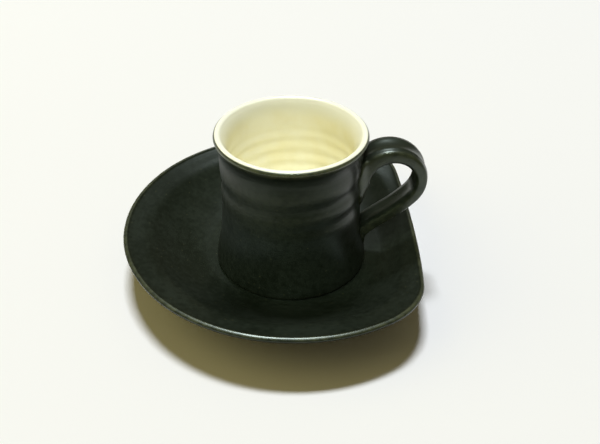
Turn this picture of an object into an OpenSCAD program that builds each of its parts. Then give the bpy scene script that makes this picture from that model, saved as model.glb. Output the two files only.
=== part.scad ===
// Thrown stoneware coffee cup with a pulled strap handle, standing on its saucer.
// The saucer is round with one side pressed in nearly straight, and the cup lifts off it.
// Origin: below the middle of the whole outline, on the surface that the saucer stands on.
// +Z is up, and +X points to the handle and the straight side.

/* [Saucer] */
// Radius to the outside of the rolled rim
saucer_r = 78.4; // [74:0.2:88]
// Distance from the saucer's axis to the middle of its straight side
straight_x = 57.2; // [54:0.2:62]
// Radius of the slight bow that the straight side keeps
bow_r = 370; // [300:10:600]
// Radius, seen from above, of the corners beside the straight side
corner_r = 33; // [26:1:38]
// Drop of the rim at the middle of the straight side
side_dip = 5.5; // [0:0.5:7]
// Gap between the cup's base and the edge of the flat well that it stands in
well_gap = 0.6; // [0.4:0.1:2]
// Width of the flange, from its inner edge to the outside of the rim
flange_w = 11; // [8:0.5:13]
// Height of the flange's inner edge above the well
flange_rise = 12.9; // [9:0.1:15]
// Further rise of the flange, up to the middle of the rolled rim
rim_lift = 1.1; // [0.4:0.1:2]
// Thickness of the rolled rim
rim_t = 2.4; // [2:0.1:3.4]
// Thickness of the clay under the well
saucer_floor_t = 4; // [3:0.2:5.5]

/* [Saucer foot] */
// Outer radius of the saucer's foot ring
saucer_foot_r = 45; // [42:0.5:48]
// Width of the ring that touches the table
saucer_foot_w = 6; // [4:0.5:8]
// Height of the foot ring
saucer_foot_h = 3; // [2:0.2:5]

/* [Cup] */
// Place of the cup's axis on the saucer, towards the straight side
cup_x = -1.3; // [-3:0.1:1]
// Place of the cup's axis on the saucer, away from the viewer
cup_y = -5.9; // [-6:0.1:0]
// Height of the cup, from the well to the top of the lip
cup_h = 66; // [58:0.2:76]
// Radius of the cup at the outside of the lip
lip_r = 33; // [31:0.2:35]
// Thickness of the rounded lip
lip_t = 3.4; // [2.8:0.1:3.8]
// Radius of the cup's waist
waist_r = 31.1; // [29:0.1:31.6]
// Radius of the cup at its widest, just above the base
base_r = 34.4; // [33:0.1:35]
// Radius of the tucked-in edge under the base
tuck_r = 1.8; // [1.2:0.1:2.4]
// Height over which the base flares out
base_flare_h = 12.3; // [8:0.1:16]
// Height over which the lip flares out
lip_flare_h = 8.6; // [6:0.1:11]
// Thickness of the cup's wall
wall_t = 3.2; // [2.6:0.1:4]
// Thickness of the cup's floor
cup_floor_t = 4.2; // [3:0.1:6]
// Radius of the round corner between the inside wall and the floor
inside_corner_r = 8; // [5:0.5:12]

/* [Throwing rings] */
// Spacing of the grooves that the fingers left outside
groove_pitch = 9.6; // [8:0.2:11]
// Depth of the deepest groove outside
groove_depth = 0.85; // [0.2:0.05:1.2]
// Half width of one groove outside
groove_w = 2.7; // [1.6:0.1:3.4]
// Distance from the top of the lip down to the first groove
groove_drop = 19.5; // [17:0.5:22]
// Spacing of the rings inside
inner_pitch = 6.4; // [5:0.2:8]
// Depth of the rings inside
inner_depth = 0.3; // [0.05:0.05:0.45]

/* [Cup foot] */
// Step from the outside of the base in to the cup's foot ring
cup_foot_inset = 3.2; // [2.6:0.1:4.5]
// Width of the cup's foot ring
cup_foot_w = 5; // [3.5:0.1:7]
// Height of the cup's foot ring
cup_foot_h = 2; // [1.2:0.1:2.6]
// Height of the glazed base edge above the well
base_gap = 0.4; // [0.3:0.05:0.6]

/* [Liner glaze] */
// Thickness of the cream glaze inside the cup
liner_t = 0.5; // [0.3:0.05:0.7]
// Step of the cream glaze over the dark one at the lip
liner_step = 0.15; // [0.1:0.05:0.2]

/* [Handle] */
// Width of the strap
strap_w = 12.4; // [10:0.2:14]
// Thickness of the strap
strap_t = 5.4; // [4.4:0.1:6.2]
// Radius of the loop, along the middle of the strap
loop_r = 13.3; // [12:0.1:14]
// Gap between the cup's waist and the inside of the loop
loop_gap = 3.1; // [2.6:0.1:5]
// Height of the loop's centre above the well
loop_h = 42.7; // [40:0.1:45]
// Height above the well at which the strap's lower end meets the wall
limb_end_h = 16; // [14:0.5:20]
// Height above the well to which the pressed tail reaches
tail_h = 6; // [5:0.5:9]
// Length of the root that is smeared down the wall
root_len = 11; // [8:0.5:13]

/* [Hidden] */

// Fineness of round shapes, and the overrun of every cut
$fn = 96;
overrun = 1;
black_glaze = [0.14, 0.15, 0.13];
cream_glaze = [0.92, 0.89, 0.72];
bare_clay = [0.55, 0.45, 0.34];

// Saucer, with heights above the table
well_z = saucer_foot_h + saucer_floor_t;
well_r = norm([cup_x, cup_y]) + base_r + well_gap;
rim_half = rim_t / 2;
under_t = saucer_floor_t - (saucer_floor_t - rim_half) / 3;
dish_power = 1.5;
bead_a = 105;
dish_steps = 8;
bead_steps = 7;
under_steps = 6;

// Middle of the bow of the straight side, and the corners that touch both the bow and the rim
bow_x = straight_x - bow_r;
corner_x = (pow(saucer_r - corner_r, 2) - pow(bow_r - corner_r, 2) + pow(bow_x, 2)) / (2 * bow_x);
corner_y = sqrt(pow(saucer_r - corner_r, 2) - pow(corner_x, 2));
bow_a = atan2(corner_y, corner_x - bow_x);
side_a = atan2(corner_y + corner_r * sin(bow_a), corner_x + corner_r * cos(bow_a));
round_a = atan2(corner_y, corner_x);
side_steps = 12;
corner_steps = 7;
round_steps = 48;

// Cup, with heights above the well
lip_half = lip_t / 2;
lip_z = cup_h - lip_half;
cup_foot_r = base_r - cup_foot_inset;
tuck_mid_r = base_r - tuck_r;
tuck_mid_z = base_gap + tuck_r;
base_power = 1.7;
lip_power = 2.2;
wall_steps = 72;
inside_floor_z = cup_foot_h + cup_floor_t;
groove_shares = [1, 0.6, 0.3];
inner_count = 5;

// Handle, with heights above the well and distances from the cup's axis
loop_start_a = 180;
loop_end_a = -39;
root_swell_share = 0.5;
root_swell_a = 135;
root_t = strap_t * (1 + swell_share(0));
outer_t = strap_t * (1 + swell_share(loop_start_a));
loop_mid_x = waist_r + loop_gap - root_t / 2 + loop_r;
handle_reach = max(straight_x, cup_x + loop_mid_x + loop_r + outer_t / 2);
root_steps = 5;
loop_steps = 26;
limb_steps = 12;
tail_steps = 5;
strap_sides = 20;
strap_roundness = 4.5;
limb_pull_share = 0.35;
limb_push_share = 0.34;
tail_sink = strap_t / 4;
root_sink = strap_t / 3;
thin_share = 0.22;
tail_w_share = 0.55;

// Distance from the saucer's axis to its edge in direction a, from 0 to 180 on either side
function reach(x, y, r, a) = let (along = x * cos(a) + y * sin(a))
    along + sqrt(pow(along, 2) + pow(r, 2) - pow(x, 2) - pow(y, 2));
function edge_r(a) = a < side_a ? reach(bow_x, 0, bow_r, a)
    : a < round_a ? reach(corner_x, corner_y, corner_r, a)
    : saucer_r;

// The rim's roll in that direction, the fold where the flange starts, and how far the heights drop
function roll_r(a) = edge_r(a) - rim_half;
function fold_r(a) = roll_r(a)
    - (flange_w - rim_half) * (roll_r(a) - well_r) / (saucer_r - rim_half - well_r);
function lift_share(a) = 1
    - side_dip * (saucer_r - edge_r(a)) / (saucer_r - straight_x) / (flange_rise + rim_lift);
function roll_z(a) = well_z + (flange_rise + rim_lift) * lift_share(a);

// Top of the dish at radius r in direction a
function dish_z(r, a) = well_z + flange_rise * lift_share(a)
    * pow(max(0, min(1, (r - well_r) / (fold_r(a) - well_r))), dish_power);

// One ray of the saucer's section, from the well out over the rim and back below to the foot
function ray(a) = concat(
    [for (i = [0:dish_steps]) let (r = well_r + (fold_r(a) - well_r) * i / dish_steps)
        [r, dish_z(r, a)]],
    arc(roll_r(a), roll_z(a), rim_half, bead_a, -90, bead_steps),
    [for (i = [under_steps - 1:-1:0]) let (
        t = i / under_steps,
        r = saucer_foot_r + (roll_r(a) - saucer_foot_r) * t
    ) [r, min(roll_z(a) - rim_half, dish_z(r, a) - under_t * (1 - t) - rim_t * t)]],
    [[saucer_foot_r, saucer_foot_h]]
);

// Points along an arc about [x, y], from angle a to angle b
function arc(x, y, r, a, b, steps) =
    [for (i = [0:steps]) let (t = a + (b - a) * i / steps) [x + r * cos(t), y + r * sin(t)]];

// Smooth outside of the cup at height z, before any groove is pressed into it
function base_flare(z) = (base_r - waist_r) * exp(-pow(max(0, z - tuck_mid_z) / base_flare_h, base_power));
function lip_flare(z) = (lip_r - waist_r) * pow(max(0, z - lip_z + lip_flare_h) / lip_flare_h, lip_power);
function bowl_r(z) = waist_r + base_flare(z) + lip_flare(z);

// Outside of the cup with its grooves, and inside with its rings
function groove(z, i) = groove_depth * groove_shares[i]
    * exp(-pow((z - cup_h + groove_drop + i * groove_pitch) / groove_w, 2));
function wall_r(z) = bowl_r(z) - groove(z, 0) - groove(z, 1) - groove(z, 2);
function inner_wave(z) = let (turns = (cup_h - groove_drop - z) / inner_pitch)
    turns < -1 / 2 || turns > inner_count + 1 / 2 ? 0 : inner_depth * cos(360 * turns) / 2 + inner_depth / 2;
function hollow_r(z) = bowl_r(z) - wall_t + (1 - pow(z / lip_z, inner_count)) * inner_wave(z);

// Outline of the hollow, from the lip down to the middle of the floor, drawn in by the glaze
function hollow(skin, step) = let (
    lip_round = lip_half - (liner_t - skin) / 2 - step / 2,
    lip_mid_r = lip_r - step - lip_round,
    top_z = lip_z,
    low_z = inside_floor_z + inside_corner_r,
    blend_r = lip_mid_r - lip_round - (hollow_r(top_z) - skin)
) concat(
    arc(lip_mid_r, lip_z, lip_round, 0, 180, 12),
    [for (i = [1:wall_steps - 1]) let (t = i / wall_steps, z = top_z + (low_z - top_z) * t)
        [hollow_r(z) - skin + blend_r * pow(1 - t, wall_steps / 4), z]],
    arc(hollow_r(low_z) - inside_corner_r, low_z, inside_corner_r - skin, 0, -90, 8),
    [[0, inside_floor_z + skin]]
);

// Points of the handle's middle line in its own plane
function bezier(a, b, c, d, t) = pow(1 - t, 3) * a + 3 * pow(1 - t, 2) * t * b
    + 3 * (1 - t) * pow(t, 2) * c + pow(t, 3) * d;
function loop_at(a) = [loop_mid_x + loop_r * cos(a), loop_h + loop_r * sin(a)];
limb_start = loop_at(loop_end_a);
limb_end = [wall_r(limb_end_h), limb_end_h];
limb_len = norm(limb_start - limb_end);
tail_end = [wall_r(tail_h) - tail_sink, tail_h];
root_start = [wall_r(loop_h - root_len) - root_sink, loop_h - root_len];
route = concat(
    [for (i = [0:root_steps - 1]) root_start + (loop_at(loop_start_a) - root_start) * i / root_steps],
    [for (i = [0:loop_steps - 1]) loop_at(loop_start_a + (loop_end_a - loop_start_a) * i / loop_steps)],
    [for (i = [0:limb_steps - 1]) bezier(limb_start,
        limb_start + limb_pull_share * limb_len * [sin(loop_end_a), -cos(loop_end_a)],
        limb_end + limb_push_share * limb_len * [cos(-loop_end_a), sin(-loop_end_a)],
        limb_end, i / limb_steps)],
    [for (i = [0:tail_steps]) limb_end + (tail_end - limb_end) * i / tail_steps]
);
last = len(route) - 1;

// Share of the full thickness and width that the strap has at each point of the route
function end_share(i) = i < root_steps ? i / root_steps
    : i > last - tail_steps ? (last - i) / tail_steps
    : 1;
function swell_share(a) = root_swell_share * exp(-pow(a / root_swell_a, 2));
function swell(i) = swell_share(max(0, i - root_steps) * (loop_start_a - loop_end_a) / loop_steps);
function thick_at(i) = strap_t * (thin_share + (1 - thin_share) * end_share(i)) * (1 + swell(i));
function width_at(i) = strap_w * (1 + swell(i) / 2)
    * (i > last - tail_steps ? tail_w_share + (1 - tail_w_share) * end_share(i) : 1);

// One ring of the strap's rounded section, square to the route
function turn(v) = [-v[1], v[0]] / norm(v);
function rounded(v) = sign(v) * pow(abs(v), 2 / strap_roundness);
function strap_ring(i) = let (across = turn(route[min(last, i + 1)] - route[max(0, i - 1)])) [
    for (k = [0:strap_sides - 1]) let (
        a = 360 * k / strap_sides,
        side = rounded(cos(a)) * width_at(i) / 2,
        out = route[i] + across * rounded(sin(a)) * thick_at(i) / 2
    ) [out[0], side, out[1]]
];

// Places the saucer's axis so that the origin lies below the middle of the whole outline
module framed() {
    translate([(saucer_r - handle_reach) / 2, 0, 0])
        children();
}

module ring(r, w, h) {
    difference() {
        cylinder(h = h, r = r);
        translate([0, 0, -overrun])
            cylinder(h = h + 2 * overrun, r = r - w);
    }
}

// Solid through closed rings, one after another, with a flat face over the first and the last
module through(rings) {
    sides = len(rings[0]);
    last_ring = len(rings) - 1;
    polyhedron(
        points = [for (ring = rings) each ring],
        faces = concat(
            [[for (k = [0:sides - 1]) k]],
            [for (i = [0:last_ring - 1], k = [0:sides - 1]) let (a = i * sides, n = (k + 1) % sides)
                [a + k, a + sides + k, a + sides + n, a + n]],
            [[for (k = [sides - 1:-1:0]) last_ring * sides + k]]
        )
    );
}

module saucer_plate() {
    turns = concat(
        [for (i = [0:side_steps - 1]) -side_a + 2 * side_a * i / side_steps],
        [for (i = [0:corner_steps - 1]) side_a + (round_a - side_a) * i / corner_steps],
        [for (i = [0:round_steps - 1]) round_a + 2 * (180 - round_a) * i / round_steps],
        [for (i = [0:corner_steps - 1]) 360 - round_a + (round_a - side_a) * i / corner_steps]
    );
    rays = [for (a = turns) ray(min(abs(a), 360 - a))];
    color(black_glaze)
    framed()
        through([for (k = [len(rays[0]) - 1:-1:0]) [for (i = [0:len(turns) - 1]) let (r = rays[i][k][0])
            [r * cos(turns[i]), r * sin(turns[i]), rays[i][k][1]]]]);
}

module saucer_foot_ring() {
    color(bare_clay)
    framed()
        ring(saucer_foot_r, saucer_foot_w, saucer_foot_h);
}

// Where the cup stands on the saucer
module on_well() {
    framed()
        translate([cup_x, cup_y, well_z])
            children();
}

// Outside of the cup, from the foot ring's seat to the rounded lip
function cup_outline() = concat(
    [[0, cup_foot_h], [cup_foot_r, cup_foot_h], [cup_foot_r, base_gap]],
    arc(tuck_mid_r, tuck_mid_z, tuck_r, -90, 0, 8),
    [for (i = [1:wall_steps - 1]) let (z = tuck_mid_z + (lip_z - tuck_mid_z) * i / wall_steps)
        [wall_r(z) - liner_step * pow(i / wall_steps, wall_steps / 4), z]]
);

module cup_body() {
    color(black_glaze)
    on_well()
        rotate_extrude()
            polygon(concat(cup_outline(), hollow(0, liner_step)));
}

module cup_foot_ring() {
    color(bare_clay)
    on_well()
        ring(cup_foot_r, cup_foot_w, cup_foot_h);
}

module cup_liner() {
    under = hollow(0, liner_step);
    over = hollow(liner_t, 0);
    color(cream_glaze)
    on_well()
        rotate_extrude()
            polygon(concat(under, [for (i = [len(over) - 1:-1:0]) over[i]]));
}

module strap_handle() {
    color(black_glaze)
    on_well()
        difference() {
            through([for (i = [0:last]) strap_ring(i)]);
            rotate_extrude()
                polygon(concat(cup_outline(), [[lip_r - liner_step, lip_z], [0, lip_z]]));
        }
}

saucer_plate();
saucer_foot_ring();
cup_body();
cup_foot_ring();
cup_liner();
strap_handle();
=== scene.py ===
import math
import bmesh
import bpy
from mathutils import Matrix, Vector, noise


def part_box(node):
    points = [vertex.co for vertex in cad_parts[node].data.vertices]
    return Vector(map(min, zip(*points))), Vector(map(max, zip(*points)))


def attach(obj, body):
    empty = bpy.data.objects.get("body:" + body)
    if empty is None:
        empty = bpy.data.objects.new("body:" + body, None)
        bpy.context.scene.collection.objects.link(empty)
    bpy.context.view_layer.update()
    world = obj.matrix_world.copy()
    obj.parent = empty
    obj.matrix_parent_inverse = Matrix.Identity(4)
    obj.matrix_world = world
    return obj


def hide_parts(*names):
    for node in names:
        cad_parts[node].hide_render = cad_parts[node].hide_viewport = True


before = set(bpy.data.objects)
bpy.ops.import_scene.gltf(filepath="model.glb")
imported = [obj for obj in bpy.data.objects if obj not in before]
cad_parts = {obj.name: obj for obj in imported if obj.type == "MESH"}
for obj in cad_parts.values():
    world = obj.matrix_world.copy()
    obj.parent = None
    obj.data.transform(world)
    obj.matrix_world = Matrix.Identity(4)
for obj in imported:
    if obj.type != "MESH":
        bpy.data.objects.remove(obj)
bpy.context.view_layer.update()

mm = 0.001


def nodeBox(node):  # lowest corner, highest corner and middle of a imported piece, in millimetres
    low, high = (Vector(corner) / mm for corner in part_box(node))
    return low, high, (low + high) / 2


saucerLow, saucerHigh, _ = nodeBox("saucer_plate")
saucerFootLow, saucerFootHigh, saucerAxis = nodeBox("saucer_foot_ring")
cupLow, cupHigh, _ = nodeBox("cup_body")
linerLow, linerHigh, _ = nodeBox("cup_liner")
cupFootLow, cupFootHigh, cupAxis = nodeBox("cup_foot_ring")
wellHeight = cupFootLow.z


# Small tools

def toLinear(code):
    parts = [int(code[i:i + 2], 16) / 255 for i in (1, 3, 5)]
    return tuple(c / 12.92 if c <= 0.04045 else ((c + 0.055) / 1.055) ** 2.4 for c in parts) + (1,)


def repeats(size):  # scale of a pattern whose grains are this many millimetres across
    return 1 / (size * mm)


def addNode(tree, kind, values={}, links={}, **settings):
    node = tree.nodes.new(kind)
    for key, value in settings.items():
        setattr(node, key, value)
    for key, value in values.items():
        node.inputs[key].default_value = value
    for key, source in links.items():
        tree.links.new(source, node.inputs[key])
    return node


def smooth(low, high, x):
    t = max(0, min(1, (x - low) / (high - low)))
    return t * t * (3 - 2 * t)


def bell(x, width):
    return math.exp(-(x / width) ** 2)


def between(a, b, t):
    return a + (b - a) * t


def squared(value, roundness):  # turns a sine or cosine of a circle into that of a rounded square
    return math.copysign(abs(value) ** (2 / roundness), value)


seedStep = Vector((7.3, 3.1, 5.7))


def handmade(point, size, seed):  # slow unevenness of handwork, from -1 to 1
    return noise.noise(Vector(point) / size + seedStep * seed)


def arc(x, y, radius, start, end, steps):
    turns = [math.radians(between(start, end, i / steps)) for i in range(steps + 1)]
    return [(x + radius * math.cos(t), y + radius * math.sin(t)) for t in turns]


def turnsOf(sides):
    return [math.tau * k / sides for k in range(sides)]


blackPieces = bpy.data.collections.new("blackPieces")


def ringPiece(name, rings, body, slot, node, material, marks={}, closed=False):
    # A skin through rings of points in millimetres: its ends are fanned shut, or joined to each other
    sides = len(rings[0])
    bm = bmesh.new()
    layers = {mark: bm.verts.layers.float.new(mark) for mark in marks}
    rows = [[bm.verts.new([c * mm for c in point]) for point in ring] for ring in rings]
    for mark, layer in layers.items():
        for row, values in zip(rows, marks[mark]):
            for vert, value in zip(row, values):
                vert[layer] = value
    pairs = list(zip(rows, rows[1:])) + ([(rows[-1], rows[0])] if closed else [])
    for low, high in pairs:
        for k in range(sides):
            bm.faces.new((low[k], low[(k + 1) % sides], high[(k + 1) % sides], high[k]))
    if not closed:
        for row in (rows[0], rows[-1]):
            hub = bm.verts.new(sum((v.co for v in row), Vector()) / sides)
            for layer in layers.values():
                hub[layer] = row[0][layer]
            for k in range(sides):
                bm.faces.new((row[k], row[(k + 1) % sides], hub))
    bmesh.ops.recalc_face_normals(bm, faces=bm.faces)
    mesh = bpy.data.meshes.new(name)
    bm.to_mesh(mesh)
    bm.free()
    mesh.polygons.foreach_set("use_smooth", [True] * len(mesh.polygons))
    mesh.materials.append(material)
    piece = bpy.data.objects.new(name, mesh)
    bpy.context.scene.collection.objects.link(piece)
    if slot == "black_glaze":
        blackPieces.objects.link(piece)
    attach(piece, body)
    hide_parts(node)
    return piece


def marksOf(sections, places):  # what each section's points hold at these places, ring by ring
    count = len(sections[0])
    return {mark: [[section[i][k] for section in sections] for i in range(count)]
            for mark, k in places.items()}


# Materials

def newMaterial(name):
    material = bpy.data.materials.new(name)
    material.use_nodes = True
    material.node_tree.nodes.clear()
    return material, material.node_tree


def surface(tree, shader):
    addNode(tree, "ShaderNodeOutputMaterial", links={"Surface": shader.outputs[0]})


blackLook = {
    "deep": "#10130d", "pale": "#191c16", "toneLow": 0.17, "toneHigh": 0.34,
    "thinEdge": "#3a3926", "patchLow": 0.35, "patchHigh": 0.6, "patchLeast": 0.25,
    "speck": "#45412d", "speckEdge": 0.16, "speckCore": 0.07, "speckChoice": 0.72, "speckStrength": 0.35,
    "cloudSize": 26, "mottleSize": 2.4, "speckSize": 2.6, "peelSize": 1.9,
    "peelDepth": 0.02, "lineDepth": 0.005, "lineSway": 14,
    "roughness": 0.29, "smoother": 0.02, "rougher": 0.05, "cloudLow": 0.3, "cloudHigh": 0.7,
    "edgeGloss": 1, "glossTint": "#f2fff0", "ior": 1.5,
}


def stonewareGlaze(name, linePitch, gloss):
    # Iron-black stoneware glaze, dipped and fired: satin and glassy, browner where it runs thin over edges
    look = blackLook
    material, tree = newMaterial(name)
    place = addNode(tree, "ShaderNodeTexCoord").outputs["Object"]
    thin = addNode(tree, "ShaderNodeAttribute", attribute_name="thin").outputs["Fac"]
    turned = addNode(tree, "ShaderNodeAttribute", attribute_name="turned").outputs["Fac"]
    clouds = addNode(tree, "ShaderNodeTexNoise", {"Scale": repeats(look["cloudSize"]), "Detail": 5},
                     {"Vector": place}).outputs["Fac"]
    mottle = addNode(tree, "ShaderNodeTexNoise", {"Scale": repeats(look["mottleSize"]), "Detail": 3},
                     {"Vector": place}).outputs["Fac"]
    shade = addNode(tree, "ShaderNodeMath", {}, {0: clouds, 1: mottle}, operation="MULTIPLY").outputs[0]
    depth = addNode(tree, "ShaderNodeMapRange", {"From Min": look["toneLow"], "From Max": look["toneHigh"]},
                    {"Value": shade}).outputs[0]
    body = addNode(tree, "ShaderNodeMix", {6: toLinear(look["deep"]), 7: toLinear(look["pale"])}, {0: depth},
                   data_type="RGBA").outputs[2]
    patchy = addNode(tree, "ShaderNodeMapRange", {"From Min": look["patchLow"], "From Max": look["patchHigh"],
                                                  "To Min": look["patchLeast"]}, {"Value": mottle}).outputs[0]
    bare = addNode(tree, "ShaderNodeMath", {}, {0: thin, 1: patchy}, operation="MULTIPLY").outputs[0]
    broken = addNode(tree, "ShaderNodeMix", {7: toLinear(look["thinEdge"])}, {0: bare, 6: body},
                     data_type="RGBA").outputs[2]
    cells = addNode(tree, "ShaderNodeTexVoronoi", {"Scale": repeats(look["speckSize"])}, {"Vector": place})
    near = addNode(tree, "ShaderNodeMapRange", {"From Min": look["speckEdge"], "From Max": look["speckCore"]},
                   {"Value": cells.outputs["Distance"]}).outputs[0]
    few = addNode(tree, "ShaderNodeSeparateColor", {}, {"Color": cells.outputs["Color"]}).outputs[0]
    chosen = addNode(tree, "ShaderNodeMath", {1: look["speckChoice"]}, {0: few},
                     operation="GREATER_THAN").outputs[0]
    spot = addNode(tree, "ShaderNodeMath", {}, {0: near, 1: chosen}, operation="MULTIPLY").outputs[0]
    faint = addNode(tree, "ShaderNodeMath", {1: look["speckStrength"]}, {0: spot},
                    operation="MULTIPLY").outputs[0]
    colour = addNode(tree, "ShaderNodeMix", {7: toLinear(look["speck"])}, {0: faint, 6: broken},
                     data_type="RGBA").outputs[2]
    rough = addNode(tree, "ShaderNodeMapRange", {"From Min": look["cloudLow"], "From Max": look["cloudHigh"],
                                                 "To Min": look["roughness"] - look["smoother"],
                                                 "To Max": look["roughness"] + look["rougher"]},
                    {"Value": clouds}).outputs[0]
    peel = addNode(tree, "ShaderNodeTexNoise", {"Scale": repeats(look["peelSize"]), "Detail": 2},
                   {"Vector": place}).outputs["Fac"]
    peelBump = addNode(tree, "ShaderNodeBump", {"Distance": look["peelDepth"] * mm}, {"Height": peel})
    phase = addNode(tree, "ShaderNodeMath", {1: math.tau / linePitch}, {0: turned},
                    operation="MULTIPLY").outputs[0]
    swept = addNode(tree, "ShaderNodeMath", {1: look["lineSway"]}, {0: clouds, 2: phase},
                    operation="MULTIPLY_ADD").outputs[0]
    lines = addNode(tree, "ShaderNodeMath", {}, {0: swept}, operation="SINE").outputs[0]
    lineBump = addNode(tree, "ShaderNodeBump", {"Distance": look["lineDepth"] * mm},
                       {"Height": lines, "Normal": peelBump.outputs[0]})
    sheen = addNode(tree, "ShaderNodeMapRange", {"To Min": gloss, "To Max": look["edgeGloss"]},
                    {"Value": thin}).outputs[0]
    tint = toLinear(look["glossTint"])
    surface(tree, addNode(tree, "ShaderNodeBsdfPrincipled", {"IOR": look["ior"], "Specular Tint": tint},
                          {"Base Color": colour, "Roughness": rough, "Specular IOR Level": sheen,
                           "Normal": lineBump.outputs[0]}))
    return material


creamLook = {
    "pooled": "#f3edcb", "even": "#f9f6e2", "poolLow": 0.35, "poolHigh": 0.6, "thin": "#ecead6",
    "meeting": "#6d6742", "holeEdge": 0.08, "holeCore": 0.04, "holeStrength": 0.35,
    "cloudSize": 18, "pinholeSize": 3.4, "peelSize": 1.3, "peelDepth": 0.03, "roughness": 0.24, "ior": 1.5,
}


def linerGlaze():
    # Cream tin-white liner glaze, poured in: glossy, paler where thin on the lip and yellower where it pooled
    look = creamLook
    material, tree = newMaterial("creamLinerGlaze")
    place = addNode(tree, "ShaderNodeTexCoord").outputs["Object"]
    thin = addNode(tree, "ShaderNodeAttribute", attribute_name="thin").outputs["Fac"]
    edge = addNode(tree, "ShaderNodeAttribute", attribute_name="meeting").outputs["Fac"]
    clouds = addNode(tree, "ShaderNodeTexNoise", {"Scale": repeats(look["cloudSize"]), "Detail": 4},
                     {"Vector": place}).outputs["Fac"]
    spread = addNode(tree, "ShaderNodeMapRange", {"From Min": look["poolLow"], "From Max": look["poolHigh"]},
                     {"Value": clouds}).outputs[0]
    body = addNode(tree, "ShaderNodeMix", {6: toLinear(look["pooled"]), 7: toLinear(look["even"])},
                   {0: spread}, data_type="RGBA").outputs[2]
    lip = addNode(tree, "ShaderNodeMix", {7: toLinear(look["thin"])}, {0: thin, 6: body},
                  data_type="RGBA").outputs[2]
    cells = addNode(tree, "ShaderNodeTexVoronoi", {"Scale": repeats(look["pinholeSize"])}, {"Vector": place})
    hole = addNode(tree, "ShaderNodeMapRange", {"From Min": look["holeEdge"], "From Max": look["holeCore"],
                                                "To Max": look["holeStrength"]},
                   {"Value": cells.outputs["Distance"]}).outputs[0]
    holed = addNode(tree, "ShaderNodeMix", {7: toLinear(look["pooled"])}, {0: hole, 6: lip},
                    data_type="RGBA").outputs[2]
    colour = addNode(tree, "ShaderNodeMix", {7: toLinear(look["meeting"])}, {0: edge, 6: holed},
                     data_type="RGBA").outputs[2]
    peel = addNode(tree, "ShaderNodeTexNoise", {"Scale": repeats(look["peelSize"]), "Detail": 2},
                   {"Vector": place}).outputs["Fac"]
    bump = addNode(tree, "ShaderNodeBump", {"Distance": look["peelDepth"] * mm}, {"Height": peel})
    surface(tree, addNode(tree, "ShaderNodeBsdfPrincipled",
                          {"IOR": look["ior"], "Roughness": look["roughness"]},
                          {"Base Color": colour, "Normal": bump.outputs[0]}))
    return material


clayLook = {
    "clay": "#8f7556", "sand": "#b49b78", "toastLow": 0.35, "toastHigh": 0.65, "iron": "#5f4a34",
    "ironChoice": 0.86, "grogSize": 0.7, "cloudSize": 9, "grain": 0.06, "roughness": 0.85,
}


def bareStoneware():
    # Fired stoneware body, wiped clean of glaze: matt, toasted brown, with grog and iron specks
    look = clayLook
    material, tree = newMaterial("bareStoneware")
    place = addNode(tree, "ShaderNodeTexCoord").outputs["Object"]
    clouds = addNode(tree, "ShaderNodeTexNoise", {"Scale": repeats(look["cloudSize"]), "Detail": 4},
                     {"Vector": place}).outputs["Fac"]
    grog = addNode(tree, "ShaderNodeTexVoronoi", {"Scale": repeats(look["grogSize"])}, {"Vector": place})
    tone = addNode(tree, "ShaderNodeSeparateColor", {}, {"Color": grog.outputs["Color"]})
    dark = addNode(tree, "ShaderNodeMath", {1: look["ironChoice"]}, {0: tone.outputs[0]},
                   operation="GREATER_THAN").outputs[0]
    toast = addNode(tree, "ShaderNodeMapRange", {"From Min": look["toastLow"], "From Max": look["toastHigh"]},
                    {"Value": clouds}).outputs[0]
    body = addNode(tree, "ShaderNodeMix", {6: toLinear(look["clay"]), 7: toLinear(look["sand"])}, {0: toast},
                   data_type="RGBA").outputs[2]
    colour = addNode(tree, "ShaderNodeMix", {7: toLinear(look["iron"])}, {0: dark, 6: body},
                     data_type="RGBA").outputs[2]
    bump = addNode(tree, "ShaderNodeBump", {"Distance": look["grain"] * mm}, {"Height": tone.outputs[1]})
    surface(tree, addNode(tree, "ShaderNodeBsdfPrincipled", {"Roughness": look["roughness"]},
                          {"Base Color": colour, "Normal": bump.outputs[0]}))
    return material


# The same black glaze on three pieces, each with its own turning lines and its own share of the gloss
dishBlack = stonewareGlaze("dishBlackGlaze", linePitch=2.1, gloss=0.26)
thrownBlack = stonewareGlaze("thrownBlackGlaze", linePitch=2.1, gloss=0.36)
pulledBlack = stonewareGlaze("pulledBlackGlaze", linePitch=2.3, gloss=0.55)
creamLiner = linerGlaze()
bareClay = bareStoneware()
print("materials made")


# Saucer: thrown dish with a flange and a rolled rim, one side pressed in nearly straight

saucer = {
    "straightX": 57.2, "bowRadius": 370, "cornerRadius": 33, "sideDip": 5.5,
    "flangeWidth": 11, "flangeRise": 12.9, "flangePower": 1.6, "rimLift": 1.1, "rimThickness": 2.4,
    "floorThickness": 4, "taperShare": 1 / 3, "wellGap": 0.6, "dishPower": 1.5, "foldSoftness": 2.4,
    "foldWidth": 0.8, "rollStart": 150, "rollRoundness": 2.8, "rollLean": 17, "rollShare": 0.95,
    "thinStep": 22, "thinSteps": 7, "thinPatch": 0.3, "thinPatchSize": 9,
    "warp": 0.22, "warpSize": 55, "shrinkShare": 0.0015, "shrinkSize": 30,
    "sides": 288, "footSteps": 5, "ledgeSteps": 3, "underSteps": 20, "rollSteps": 32, "flangeSteps": 12,
    "foldSteps": 8, "dishSteps": 30, "wellSteps": 24,
}
saucer["radius"] = (saucerHigh.y - saucerLow.y) / 2
saucer["footRadius"] = (saucerFootHigh.x - saucerFootLow.x) / 2


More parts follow.
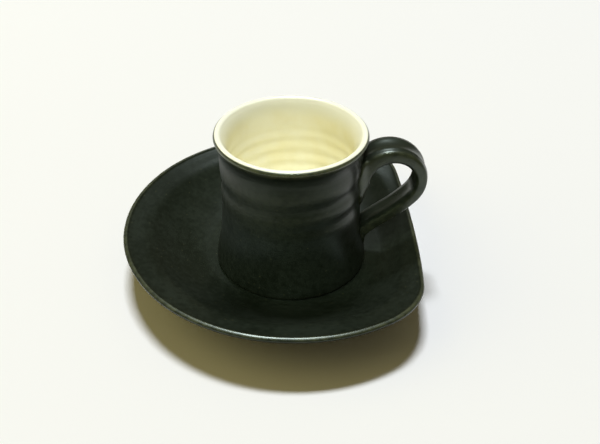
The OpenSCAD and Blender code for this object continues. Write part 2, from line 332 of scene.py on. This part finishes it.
def saucerEdge(turn):  # distance from the axis to the edge, for a turn from 0 to 180 degrees either way
    s = saucer
    corner = s["cornerRadius"]
    bowX = s["straightX"] - s["bowRadius"]
    inner = s["radius"] - corner
    cornerX = (inner ** 2 - (s["bowRadius"] - corner) ** 2 + bowX ** 2) / (2 * bowX)
    cornerY = math.sqrt(inner ** 2 - cornerX ** 2)
    lean = math.atan2(cornerY, cornerX - bowX)
    sideTurn = math.atan2(cornerY + corner * math.sin(lean), cornerX + corner * math.cos(lean))
    roundTurn = math.atan2(cornerY, cornerX)
    if turn >= roundTurn:
        return s["radius"]
    x, y, r = (bowX, 0, s["bowRadius"]) if turn < sideTurn else (cornerX, cornerY, corner)
    along = x * math.cos(turn) + y * math.sin(turn)
    return along + math.sqrt(along ** 2 + r ** 2 - x ** 2 - y ** 2)


def rollPoint(x, y, half, turn):  # on the rim's roll: a rounded square in section that leans outwards
    s = saucer
    lean = math.radians(s["rollLean"])
    t = math.radians(turn) + lean
    c, d = (squared(v, s["rollRoundness"]) * half * s["rollShare"] for v in (math.cos(t), math.sin(t)))
    return x + c * math.cos(lean) + d * math.sin(lean), y - c * math.sin(lean) + d * math.cos(lean)


def saucerSection(turn, wellRadius):
    # From below the middle, out under the dish, round the rim and back in over the flange and the well:
    # each point is (radius, height, thinness of the glaze)
    s = saucer
    half = s["rimThickness"] / 2
    edge = saucerEdge(turn)
    roll = edge - half
    fold = roll - (s["flangeWidth"] - half) * (roll - wellRadius) / (s["radius"] - half - wellRadius)
    pressed = (s["radius"] - edge) / (s["radius"] - s["straightX"])
    lift = 1 - s["sideDip"] * pressed / (s["flangeRise"] + s["rimLift"])
    rise = s["flangeRise"] * lift
    rollZ = (s["flangeRise"] + s["rimLift"]) * lift
    startX, startZ = rollPoint(roll, rollZ, half, s["rollStart"])
    floor = s["floorThickness"]
    taper = (floor - half) * s["taperShare"]

    def dish(r):
        return rise * max(0, (r - wellRadius) / (fold - wellRadius)) ** s["dishPower"]

    def top(r):
        flange = rise + (startZ - rise) * max(0, (r - fold) / (startX - fold)) ** s["flangePower"]
        share = max(0, min(1, 0.5 + 0.5 * (flange - dish(r)) / s["foldSoftness"]))
        return between(flange, dish(r), share) - s["foldSoftness"] * share * (1 - share)

    def under(r, thickness):
        return min(rollZ - half, min(dish(r), rise) - thickness)

    foot = s["footRadius"]
    rows = [(foot * i / s["footSteps"], -floor, 0) for i in range(1, s["footSteps"] + 1)]
    ledge = under(foot, floor - taper)
    rows += [(foot, between(-floor, ledge, i / s["ledgeSteps"]), 0) for i in range(1, s["ledgeSteps"] + 1)]
    for i in range(1, s["underSteps"]):
        t = i / s["underSteps"]
        r = between(foot, roll, t)
        rows.append((r, under(r, between(floor - taper, 2 * half, t)), 0))
    for i in range(s["rollSteps"] + 1):
        x, z = rollPoint(roll, rollZ, half, between(-90, s["rollStart"], i / s["rollSteps"]))
        rows.append((x, z, bell(i - s["thinStep"], s["thinSteps"])))
    stops = [startX, fold + s["foldWidth"], fold - s["foldWidth"], wellRadius]
    for start, end, steps in zip(stops, stops[1:], (s["flangeSteps"], s["foldSteps"], s["dishSteps"])):
        for i in range(1, steps + 1):
            r = between(start, end, i / steps)
            rows.append((r, top(r), 0))
    rows += [(wellRadius * (1 - i / s["wellSteps"]), 0, 0) for i in range(1, s["wellSteps"])]
    return rows


def makeSaucer():
    s = saucer
    offset = Vector((cupAxis.x - saucerAxis.x, cupAxis.y - saucerAxis.y))
    wellRadius = offset.length + cup["baseRadius"] + s["wellGap"]
    turns = turnsOf(s["sides"])
    sections = [saucerSection(min(t, math.tau - t), wellRadius) for t in turns]
    rings, turned, thin = [], [], []
    for i in range(len(sections[0])):
        ring, thins = [], []
        for t, section in zip(turns, sections):
            r, z, mark = section[i]
            wide = smooth(wellRadius, s["radius"], r)
            x, y = r * math.cos(t), r * math.sin(t)
            warp = s["warp"] * wide * handmade((x, y, 0), s["warpSize"], 1)
            shrink = 1 - s["shrinkShare"] * wide * (1 + handmade((x, y, 0), s["shrinkSize"], 2))
            ring.append((saucerAxis.x + x * shrink, saucerAxis.y + y * shrink, wellHeight + z + warp))
            thins.append(mark * (1 - s["thinPatch"] * (1 - handmade((x, y, z), s["thinPatchSize"], 3))))
        rings.append(ring)
        turned.append([section[i][0] for section in sections])
        thin.append(thins)
    return ringPiece("saucerDish", rings, "saucer", "black_glaze", "saucer_plate", dishBlack,
                     {"turned": turned, "thin": thin})


footRing = {
    "softEdge": 0.7, "edgeShare": 1 / 3, "cornerShare": 0.3, "saucerWidth": 6, "cupWidth": 5, "sides": 160,
}


def makeFootRing(name, axis, low, high, outer, width, body, node):
    # Turned foot ring: trimmed square, its edges softened with a wet finger, and the glaze wiped off
    soft = min(footRing["softEdge"], (high - low) * footRing["edgeShare"])
    corner = soft * footRing["cornerShare"]
    inner = outer - width
    outline = [(inner, high), (inner, low + soft), (inner + corner, low + corner), (inner + soft, low),
               (outer - soft, low), (outer - corner, low + corner), (outer, low + soft), (outer, high)]
    turns = turnsOf(footRing["sides"])
    rings = [[(axis.x + r * math.cos(t), axis.y + r * math.sin(t), z) for t in turns] for r, z in outline]
    return ringPiece(name, rings, body, "bare_clay", node, bareClay, closed=True)


# Cup: thrown wall with the spiral that the fingers left, a flared lip and a flared base.
# A pair of numbers is the two heights above the well between which something comes or goes

cup = {
    "waistRadius": 31.1, "lipThickness": 3.4, "lipFlareHeight": 8.6, "lipFlarePower": 2.2,
    "baseFlareHeight": 12.3, "baseFlarePower": 1.7, "tuckRadius": 1.8, "baseGap": 0.4,
    "wallThickness": 3.2, "floorThickness": 4.2, "insideCorner": 8, "lipInsideTurn": 154,
    "groovePitch": 9.6, "grooveDepth": 0.9, "grooveWidth": 3.5, "grooveTop": 46.9, "grooveTurns": 5,
    "grooveSway": 0.8, "swayTurn": 251, "grooveStart": (25, 44), "grooveEnd": (48, 53.5),
    "grooveFoot": (3, 9), "lowGrooveShare": 0.08, "frontFade": 0.72, "frontTurn": 115, "frontWidth": 0.9,
    "uneven": 0.1, "unevenRadius": 31, "unevenSize": 22, "unevenStart": (0, 12), "unevenEnd": (54, 62),
    "innerPitch": 6.4, "innerDepth": 0.55, "innerPhase": 1.2, "innerStart": (14, 22), "innerEnd": (45, 56),
    "sag": 0.16, "sagSize": 40, "sagStart": (52, 64),
    "baseThin": 0.8, "baseThinHeight": 1, "lipThinStart": (61.8, 64),
    "ridgeThin": 0.4, "ridgeDepth": 0.35, "ridgeStart": (30, 36), "ridgeEnd": (50, 55),
    "blackLipTurn": 50, "sides": 256, "footSteps": 6, "footRiseSteps": 3, "tuckSteps": 10, "wallSteps": 110,
    "blackLipSteps": 6, "lipSteps": 12, "lipSkip": 5, "insideSteps": 40, "cornerSteps": 12, "floorSteps": 8,
}
cup["baseRadius"] = (cupHigh.x - cupLow.x) / 2
cup["lipRadius"] = (linerHigh.x - linerLow.x) / 2
cup["height"] = linerHigh.z - wellHeight
cup["footRadius"] = (cupFootHigh.x - cupFootLow.x) / 2
cup["footHeight"] = cupFootHigh.z - wellHeight
cup["lipZ"] = cup["height"] - cup["lipThickness"] / 2

liner = {
    "thickness": 0.5, "backStep": 0.05, "clayStep": 0.15, "thinStart": (56, 64),
    "end": 37, "endWave": 6, "endWaveSize": 7, "tuck": 0.3, "tuckTurn": 8, "tuckEnd": 3, "proud": 0.02,
    "lipTurn": 100, "meetingStep": 1, "meetingSteps": 1.1, "backLipSteps": 20, "backSteps": 30, "endSteps": 3,
    "lipSteps": 8, "frontLipSteps": 20, "frontLipSkip": 14, "frontSteps": 80,
}


def bowlRadius(z):
    c = cup
    start = c["baseGap"] + c["tuckRadius"]
    flare = math.exp(-(max(0, z - start) / c["baseFlareHeight"]) ** c["baseFlarePower"])
    lip = (max(0, z - c["lipZ"] + c["lipFlareHeight"]) / c["lipFlareHeight"]) ** c["lipFlarePower"]
    waist = c["waistRadius"]
    return waist + (c["baseRadius"] - waist) * flare + (c["lipRadius"] - waist) * lip


def fingerGroove(z, turn):  # one groove that climbs round the cup, deepest in its upper turns
    c = cup
    sway = c["grooveSway"] * math.sin(turn + math.radians(c["swayTurn"]))
    front = 1 - c["frontFade"] * bell(turn + math.radians(c["frontTurn"]), c["frontWidth"])
    depth = 0
    for k in range(-1, c["grooveTurns"]):
        middle = c["grooveTop"] + c["groovePitch"] * (turn / math.tau - k) + sway
        share = between(c["lowGrooveShare"], 1, smooth(*c["grooveStart"], middle))
        share *= front * (1 - smooth(*c["grooveEnd"], middle))
        depth += c["grooveDepth"] * share * bell(z - middle, c["grooveWidth"])
    return depth


def eitherWay(turn):  # the same turn, from -180 to 180 degrees
    return (turn + math.pi) % math.tau - math.pi


def wallRadius(z, turn):
    c = cup
    turn = eitherWay(turn)
    x, y = c["unevenRadius"] * math.cos(turn), c["unevenRadius"] * math.sin(turn)
    calm = smooth(*c["unevenStart"], z) * (1 - smooth(*c["unevenEnd"], z))
    uneven = c["uneven"] * calm * (1 + handmade((x, y, z), c["unevenSize"], 4))
    return bowlRadius(z) - fingerGroove(z, turn) * smooth(*c["grooveFoot"], z) - uneven


def hollowRadius(z, turn):  # inside of the clay, with the rings that the fingers left there
    c = cup
    rings = 0.5 + 0.5 * math.cos(math.tau * (z / c["innerPitch"] + turn / math.tau) - c["innerPhase"])
    fade = smooth(*c["innerStart"], z) * (1 - smooth(*c["innerEnd"], z))
    return bowlRadius(z) - c["wallThickness"] + c["innerDepth"] * fade * rings


def hollowRows(skin, turn, lipSteps, wallSteps):
    # Radius and height from the outside of the lip, over it and down to the middle of the floor
    c = cup
    lipRound = (c["lipThickness"] - liner["thickness"] + skin) / 2
    rows = arc(c["lipRadius"] - lipRound, c["lipZ"], lipRound, 0, c["lipInsideTurn"], lipSteps)
    floor = c["footHeight"] + c["floorThickness"]
    low = floor + c["insideCorner"]
    for i in range(wallSteps):
        z = between(c["lipZ"], low, i / wallSteps)
        rows.append((hollowRadius(z, turn) - skin, z))
    corner = hollowRadius(low, turn) - c["insideCorner"]
    rows += arc(corner, low, c["insideCorner"] - skin, 0, -90, c["cornerSteps"])
    rows += [(corner * (1 - i / c["floorSteps"]), floor + skin) for i in range(1, c["floorSteps"])]
    return rows


def lipSag(x, y, z):  # the lip isn't quite level
    c = cup
    return -c["sag"] * smooth(*c["sagStart"], z) * (1 + handmade((x, y, 0), c["sagSize"], 5))


def cupRings(sectionOf):
    turns = turnsOf(cup["sides"])
    sections = [sectionOf(t) for t in turns]
    rings = []
    for i in range(len(sections[0])):
        ring = []
        for t, section in zip(turns, sections):
            r, z = section[i][:2]
            x, y = r * math.cos(t), r * math.sin(t)
            ring.append((cupAxis.x + x, cupAxis.y + y, wellHeight + z + lipSag(x, y, z)))
        rings.append(ring)
    return sections, rings


def makeCupWall():
    c = cup
    tuckMiddle = c["baseGap"] + c["tuckRadius"]
    lipRound = c["lipThickness"] / 2

    def ridge(z, turn):  # the glaze runs thin over the ridges between the grooves
        shallow = max(0, c["ridgeDepth"] - fingerGroove(z, eitherWay(turn)))
        return shallow * smooth(*c["ridgeStart"], z) * (1 - smooth(*c["ridgeEnd"], z))

    def section(turn):  # each point is (radius, height, thinness of the glaze)
        foot, rise = c["footRadius"], c["footRiseSteps"]
        rows = [(foot * i / c["footSteps"], c["footHeight"], 0) for i in range(1, c["footSteps"] + 1)]
        rows += [(foot, between(c["footHeight"], c["baseGap"], i / rise), 0) for i in range(1, rise + 1)]
        tuck = arc(c["baseRadius"] - c["tuckRadius"], tuckMiddle, c["tuckRadius"], -90, 0, c["tuckSteps"])
        rows += [(r, z, c["baseThin"] * bell(z - c["baseGap"], c["baseThinHeight"])) for r, z in tuck]
        for i in range(1, c["wallSteps"]):
            z = between(tuckMiddle, c["lipZ"], i / c["wallSteps"])
            thin = smooth(*c["lipThinStart"], z) + c["ridgeThin"] * ridge(z, turn)
            rows.append((wallRadius(z, turn), z, thin))
        lip = arc(c["lipRadius"] - lipRound, c["lipZ"], lipRound, 0, c["blackLipTurn"], c["blackLipSteps"])
        rows += [(r, z, 1) for r, z in lip]
        inside = hollowRows(-liner["clayStep"], turn, c["lipSteps"], c["insideSteps"])[c["lipSkip"]:]
        rows += [(r, z, 0) for r, z in inside]
        return rows

    sections, rings = cupRings(section)
    return ringPiece("cupWall", rings, "cup", "black_glaze", "cup_body", thrownBlack,
                     marksOf(sections, {"turned": 1, "thin": 2}))


def makeLiner():
    c, n = cup, liner
    lipRound = c["lipThickness"] / 2
    middle = c["lipRadius"] - lipRound

    def section(turn):  # each point is (radius, height, thinness, nearness to the black glaze)
        x, y = c["lipRadius"] * math.cos(turn), c["lipRadius"] * math.sin(turn)
        # The cream ends in a wavering line on the lip, its end tucked just under the black glaze
        end = n["end"] + n["endWave"] * handmade((x, y, 0), n["endWaveSize"], 6) - n["tuckTurn"]
        back = hollowRows(n["backStep"], turn, n["backLipSteps"], n["backSteps"])
        rows = [(r, z, 0, 0) for r, z in back[:0:-1]]
        rows += [(r, z, 1, 1) for r, z in arc(middle, c["lipZ"], lipRound - n["tuck"], 0, end, n["endSteps"])]
        for i in range(1, n["lipSteps"] + 1):
            lift = lipRound + between(-n["tuck"], n["proud"], smooth(0, n["tuckEnd"], i))
            t = math.radians(between(end, n["lipTurn"], i / n["lipSteps"]))
            meeting = bell(i - n["meetingStep"], n["meetingSteps"])
            rows.append((middle + lift * math.cos(t), c["lipZ"] + lift * math.sin(t), 1, meeting))
        front = hollowRows(n["thickness"], turn, n["frontLipSteps"], n["frontSteps"])[n["frontLipSkip"]:]
        rows += [(r, z, smooth(*n["thinStart"], z), 0) for r, z in front]
        return rows

    sections, rings = cupRings(section)
    return ringPiece("creamLiner", rings, "cup", "cream_glaze", "cup_liner", creamLiner,
                     marksOf(sections, {"thin": 2, "meeting": 3}))


# Handle: one pulled strap, smeared down the wall at its root and pressed on at its tail

handle = {
    "width": 12.4, "thickness": 5.4, "roundness": 4.6, "widthWave": 0.02, "widthWaveSize": 14,
    "loopRadius": 13.3, "loopGap": 3.1, "loopHeight": 42.7, "startTurn": 180, "endTurn": -39,
    "rootLength": 11, "rootSwell": 0.5, "rootSwellTurn": 135, "rootThinShare": 0.22, "rootSinkShare": 1 / 3,
    "limbEndHeight": 16, "stepTurn": 4, "leaveShare": 0.35, "arriveShare": 0.34,
    "tailHeight": 6, "tailThinShare": 0.4, "tailWidthShare": 0.55, "tailSinkShare": 0.25,
    "channel": 0.85, "channelWidth": 0.42, "channelStart": (0.2, 0.9), "underShare": 0.4, "faceShare": 0.7,
    "ridge": 0.26, "ridgePlace": 0.68, "ridgeWidth": 0.2, "edgeSine": 0.05,
    "fillet": 2.2, "filletReach": 3, "filletGain": 1.5, "filletLeast": 0.1, "filletSide": 1.6,
    "filletFace": 0.3, "filletLiftShare": 0.5, "tailFilletShare": 0.25, "lowest": 1, "highest": 60,
    "edgeThin": 0.45, "edgePlace": 0.93, "edgeWidth": 0.1, "underThin": 0.5, "underSine": -0.2,
    "rootSteps": 26, "loopSteps": 84, "limbSteps": 40, "tailSteps": 26, "sides": 64,
    "smoothPasses": 10, "bendSteps": 22, "bendPasses": 45,
}


def handleRoute():
    # Each point is (place beside the cup's axis, share of the full strap, degrees gone since the root)
    h = handle
    swollen = h["thickness"] * (1 + h["rootSwell"])
    middle = cup["waistRadius"] + h["loopGap"] - swollen / 2 + h["loopRadius"]
    turnLength = h["startTurn"] - h["endTurn"]

    def loopAt(turn):
        t = math.radians(turn)
        return Vector((middle, h["loopHeight"])) + h["loopRadius"] * Vector((math.cos(t), math.sin(t)))

    rootZ = h["loopHeight"] - h["rootLength"]
    root = Vector((wallRadius(rootZ, 0) - h["thickness"] * h["rootSinkShare"], rootZ))
    loopStart, loopEnd = loopAt(h["startTurn"]), loopAt(h["endTurn"])
    limbEnd = Vector((wallRadius(h["limbEndHeight"], 0), h["limbEndHeight"]))
    tailX = wallRadius(h["tailHeight"], 0) - h["thickness"] * h["tailSinkShare"]
    tailEnd = Vector((tailX, h["tailHeight"]))
    reach, t = (limbEnd - loopEnd).length, math.radians(h["endTurn"])
    leave = loopEnd + h["leaveShare"] * reach * Vector((math.sin(t), -math.cos(t)))
    arrive = limbEnd + h["arriveShare"] * reach * Vector((math.cos(t), -math.sin(t)))

    points = []
    for i in range(h["rootSteps"]):
        share = i / h["rootSteps"]
        points.append((root.lerp(loopStart, share), share, 0))
    for i in range(h["loopSteps"]):
        turn = between(h["startTurn"], h["endTurn"], i / h["loopSteps"])
        points.append((loopAt(turn), 1, h["startTurn"] - turn))
    for i in range(h["limbSteps"]):
        u = i / h["limbSteps"]
        v = 1 - u
        point = v ** 3 * loopEnd + 3 * v * v * u * leave + 3 * v * u * u * arrive + u ** 3 * limbEnd
        points.append((point, 1, turnLength + h["stepTurn"] * i))
    for i in range(h["tailSteps"] + 1):
        share = i / h["tailSteps"]
        gone = turnLength + h["stepTurn"] * (h["limbSteps"] + i)
        points.append((limbEnd.lerp(tailEnd, share), 1 - share, gone))
    return points


def softened(points, passes):
    for _ in range(passes):
        inner = [(points[i - 1] + points[i] * 2 + points[i + 1]) / 4 for i in range(1, len(points) - 1)]
        points = [points[0]] + inner + [points[-1]]
    return points


def bowlBeside(z):
    return bowlRadius(max(handle["lowest"], min(handle["highest"], z)))


def makeHandle():
    h = handle
    route = handleRoute()
    middles = softened([place for place, _, _ in route], h["smoothPasses"])
    tailStart = len(middles) - h["tailSteps"] - 1
    bend = tailStart + 1 - h["bendSteps"]
    middles[bend:] = softened(middles[bend:], h["bendPasses"])  # rounds the bend from the limb to the tail
    rings, turned, thin = [], [], []
    for i, (point, (_, share, gone)) in enumerate(zip(middles, route)):
        ahead = middles[min(len(middles) - 1, i + 1)] - middles[max(0, i - 1)]
        across = Vector((-ahead.y, ahead.x)).normalized()
        swell = h["rootSwell"] * bell(gone, h["rootSwellTurn"])
        thinnest, narrowest = h["rootThinShare"], 1
        if i >= tailStart:
            swell, thinnest, narrowest = 0, h["tailThinShare"], h["tailWidthShare"]
        thick = h["thickness"] * between(thinnest, 1, share) * (1 + swell)
        wide = h["width"] * (1 + swell / 2) * between(narrowest, 1, share)
        wide *= 1 + h["widthWave"] * handmade((point.x, point.y, 0), h["widthWaveSize"], 7)
        ring, marks, sideways = [], [], []
        for t in turnsOf(h["sides"]):
            sine = math.sin(t)
            side, out = squared(math.cos(t), h["roundness"]), squared(sine, h["roundness"])
            ridges = sum(bell(side - line, h["ridgeWidth"]) for line in (h["ridgePlace"], -h["ridgePlace"]))
            dent = h["channel"] * bell(side, h["channelWidth"]) - h["ridge"] * ridges
            upper = smooth(0, h["faceShare"], sine) * smooth(*h["channelStart"], share)
            dent *= upper + h["underShare"] * smooth(0, h["faceShare"], -sine)
            if abs(sine) <= h["edgeSine"]:
                dent = 0
            place = point + across * (out * thick / 2 - math.copysign(dent, out))
            y = side * wide / 2
            gap = math.hypot(place.x, y) - bowlBeside(place.y)
            if gap < h["filletReach"]:
                push = h["fillet"] * (1 - max(0, gap) / h["filletReach"]) ** 2
                push *= min(1, share * h["filletGain"] + h["filletLeast"])
                if gone > h["startTurn"] - h["endTurn"]:
                    push *= h["tailFilletShare"]
                y += math.copysign(push, side) * min(1, abs(side) * h["filletSide"])
                if abs(sine) > h["filletFace"]:
                    lift = push * h["filletLiftShare"] * smooth(h["filletFace"], 1, abs(sine))
                    place += across * math.copysign(lift, out)
            buried = bowlBeside(place.y) - cup["wallThickness"] / 2
            inwards = max(1, buried / math.hypot(place.x, y))  # both ends stop inside the clay
            ring.append((cupAxis.x + place.x * inwards, cupAxis.y + y * inwards, wellHeight + place.y))
            worn = 1 if sine > h["underSine"] else h["underThin"]
            marks.append(h["edgeThin"] * bell(abs(side) - h["edgePlace"], h["edgeWidth"]) * worn)
            sideways.append(side * wide / 2)
        rings.append(ring)
        thin.append(marks)
        turned.append(sideways)
    return ringPiece("strapHandle", rings, "cup", "black_glaze", "strap_handle", pulledBlack,
                     {"turned": turned, "thin": thin})


makeSaucer()
makeFootRing("saucerFoot", saucerAxis, saucerFootLow.z, saucerFootHigh.z, saucer["footRadius"],
             footRing["saucerWidth"], "saucer", "saucer_foot_ring")
print("saucer made")
makeCupWall()
makeFootRing("cupFoot", cupAxis, cupFootLow.z, cupFootHigh.z, cup["footRadius"],
             footRing["cupWidth"], "cup", "cup_foot_ring")
makeLiner()
print("cup made")
makeHandle()
print("handle made")


# Stage: pale floor, a soft key lamp high up and a little behind, a warm pale room, and the camera

stage = {
    "floor": "#faf9f5", "floorSize": 4000, "floorFront": -118, "backdrop": "#f9f8f0",
    "lowRoom": "#ffe9a0", "walls": 0.1, "highRoom": "#fff0b6", "ceiling": 0.135,
    "ceilingStart": 0.1, "ceilingFull": 0.5, "mirrorRoom": "#fffdd2", "darkRoom": 0.12,
}

# Each lamp: the point it aims at, its slopes across and back, its distance, size, strength and colour.
# A flag keeps the fill lamp off all but the black glaze, and the matt lamps make no highlights
lamps = {
    "keyLamp": {"aim": "saucer", "slopes": (-0.04, 0.33), "distance": 12000, "wide": 3000, "deep": 1320,
                "power": 1330, "colour": "#eff5ff"},
    "softLamp": {"aim": "saucer", "slopes": (-1.2, -0.05), "distance": 1800, "wide": 1800, "deep": 1400,
                 "power": 6, "colour": "#fff09a", "matt": True},
    "fillLamp": {"aim": "saucer", "slopes": (-0.3, -0.7), "distance": 1800, "wide": 1400, "deep": 1200,
                 "power": 45, "colour": "#d9f0e0", "matt": True, "blackOnly": True},
    "mouthLamp": {"aim": "mouth", "slopes": (0, -0.4), "distance": 1500, "cone": 92, "blend": 0.5, "soft": 60,
                  "power": 74, "colour": "#f8fff4"},
}


def makeFloor():
    size, front = stage["floorSize"] * mm, stage["floorFront"] * mm
    corners = [(-size, front, 0), (size, front, 0), (size, size, 0), (-size, size, 0)]
    mesh = bpy.data.meshes.new("floor")
    mesh.from_pydata(corners, [], [(0, 1, 2, 3)])
    material, tree = newMaterial("paleFloor")
    surface(tree, addNode(tree, "ShaderNodeBsdfDiffuse", {"Color": toLinear(stage["floor"])}))
    mesh.materials.append(material)
    floor = bpy.data.objects.new("floor", mesh)
    bpy.context.scene.collection.objects.link(floor)


def makeRoom():
    # Matt surfaces see pale walls and a ceiling, highlights a darker room, and the camera the backdrop
    world = bpy.data.worlds.new("room")
    bpy.context.scene.world = world
    world.use_nodes = True
    tree = world.node_tree
    tree.nodes.clear()
    rays = addNode(tree, "ShaderNodeLightPath").outputs
    place = addNode(tree, "ShaderNodeTexCoord").outputs["Generated"]
    looking = addNode(tree, "ShaderNodeSeparateXYZ", {}, {0: place})
    high = addNode(tree, "ShaderNodeMapRange",
                   {"From Min": stage["ceilingStart"], "From Max": stage["ceilingFull"]},
                   {"Value": looking.outputs["Z"]}, interpolation_type="SMOOTHSTEP").outputs[0]
    low = addNode(tree, "ShaderNodeMath", {0: 1}, {1: high}, operation="SUBTRACT").outputs[0]
    wallLight = addNode(tree, "ShaderNodeMath", {1: stage["walls"]}, {0: low},
                        operation="MULTIPLY").outputs[0]
    topLight = addNode(tree, "ShaderNodeMath", {1: stage["ceiling"]}, {0: high},
                       operation="MULTIPLY").outputs[0]
    walls = addNode(tree, "ShaderNodeBackground", {"Color": toLinear(stage["lowRoom"])},
                    {"Strength": wallLight})
    top = addNode(tree, "ShaderNodeBackground", {"Color": toLinear(stage["highRoom"])},
                  {"Strength": topLight})
    ambient = addNode(tree, "ShaderNodeAddShader", {}, {0: walls.outputs[0], 1: top.outputs[0]})
    mirrored = addNode(tree, "ShaderNodeBackground",
                       {"Color": toLinear(stage["mirrorRoom"]), "Strength": stage["darkRoom"]})
    seen = addNode(tree, "ShaderNodeBackground", {"Color": toLinear(stage["backdrop"])})
    glossy = addNode(tree, "ShaderNodeMath", {}, {0: rays["Is Glossy Ray"], 1: rays["Is Transmission Ray"]},
                     operation="MAXIMUM")
    lit = addNode(tree, "ShaderNodeMixShader", {},
                  {0: glossy.outputs[0], 1: ambient.outputs[0], 2: mirrored.outputs[0]})
    shown = addNode(tree, "ShaderNodeMixShader", {},
                    {0: rays["Is Camera Ray"], 1: lit.outputs[0], 2: seen.outputs[0]})
    addNode(tree, "ShaderNodeOutputWorld", links={"Surface": shown.outputs[0]})


def makeLamp(name, look):
    if "cone" in look:
        data = bpy.data.lights.new(name, "SPOT")
        data.spot_size = 2 * math.atan(look["cone"] / 2 / look["distance"])
        data.spot_blend = look["blend"]
        data.shadow_soft_size = look["soft"] / 2 * mm
    else:
        data = bpy.data.lights.new(name, "AREA")
        data.shape = "RECTANGLE"
        data.size, data.size_y = look["wide"] * mm, look["deep"] * mm
    data.energy = look["power"]
    data.color = toLinear(look["colour"])[:3]
    lamp = bpy.data.objects.new(name, data)
    lamp.visible_glossy = not look.get("matt")
    if look.get("blackOnly"):
        lamp.light_linking.receiver_collection = blackPieces
    aims = {"saucer": saucerAxis, "mouth": Vector((cupAxis.x, cupAxis.y, linerHigh.z))}
    towards = Vector((*look["slopes"], 1)).normalized()
    lamp.location = (aims[look["aim"]] + towards * look["distance"]) * mm
    lamp.rotation_mode = "QUATERNION"
    lamp.rotation_quaternion = towards.to_track_quat("Z", "Y")
    bpy.context.scene.collection.objects.link(lamp)


# The camera's place from the middle of the cup's foot, its turns in degrees, and its focal length and the
# picture's width in pixels

view = {
    "fromCup": (-5.8, -272.7, 222.6), "heading": 2.07, "pitch": 36.9, "roll": 0.528,
    "focal": 743, "wide": 600, "film": 36, "nearest": 10, "farthest": 20000,
}


def makeCamera():
    data = bpy.data.cameras.new("camera")
    data.sensor_width = view["film"]
    data.lens = view["film"] * view["focal"] / view["wide"]
    data.clip_start, data.clip_end = view["nearest"] * mm, view["farthest"] * mm
    heading, pitch, roll = (math.radians(view[k]) for k in ("heading", "pitch", "roll"))
    level = Vector((math.cos(heading), -math.sin(heading), 0))
    flat = math.cos(pitch)
    ahead = Vector((math.sin(heading) * flat, math.cos(heading) * flat, -math.sin(pitch)))
    upright = level.cross(ahead)
    right = level * math.cos(roll) + upright * math.sin(roll)
    up = upright * math.cos(roll) - level * math.sin(roll)
    camera = bpy.data.objects.new("camera", data)
    place = Vector(view["fromCup"]) + Vector((cupAxis.x, cupAxis.y, wellHeight))
    camera.matrix_world = Matrix.Translation(place * mm) @ Matrix((right, up, -ahead)).transposed().to_4x4()
    bpy.context.scene.collection.objects.link(camera)
    bpy.context.scene.camera = camera


makeFloor()
makeRoom()
for name, look in lamps.items():
    makeLamp(name, look)
makeCamera()
bpy.context.scene.view_settings.view_transform = "Standard"
print("stage made")
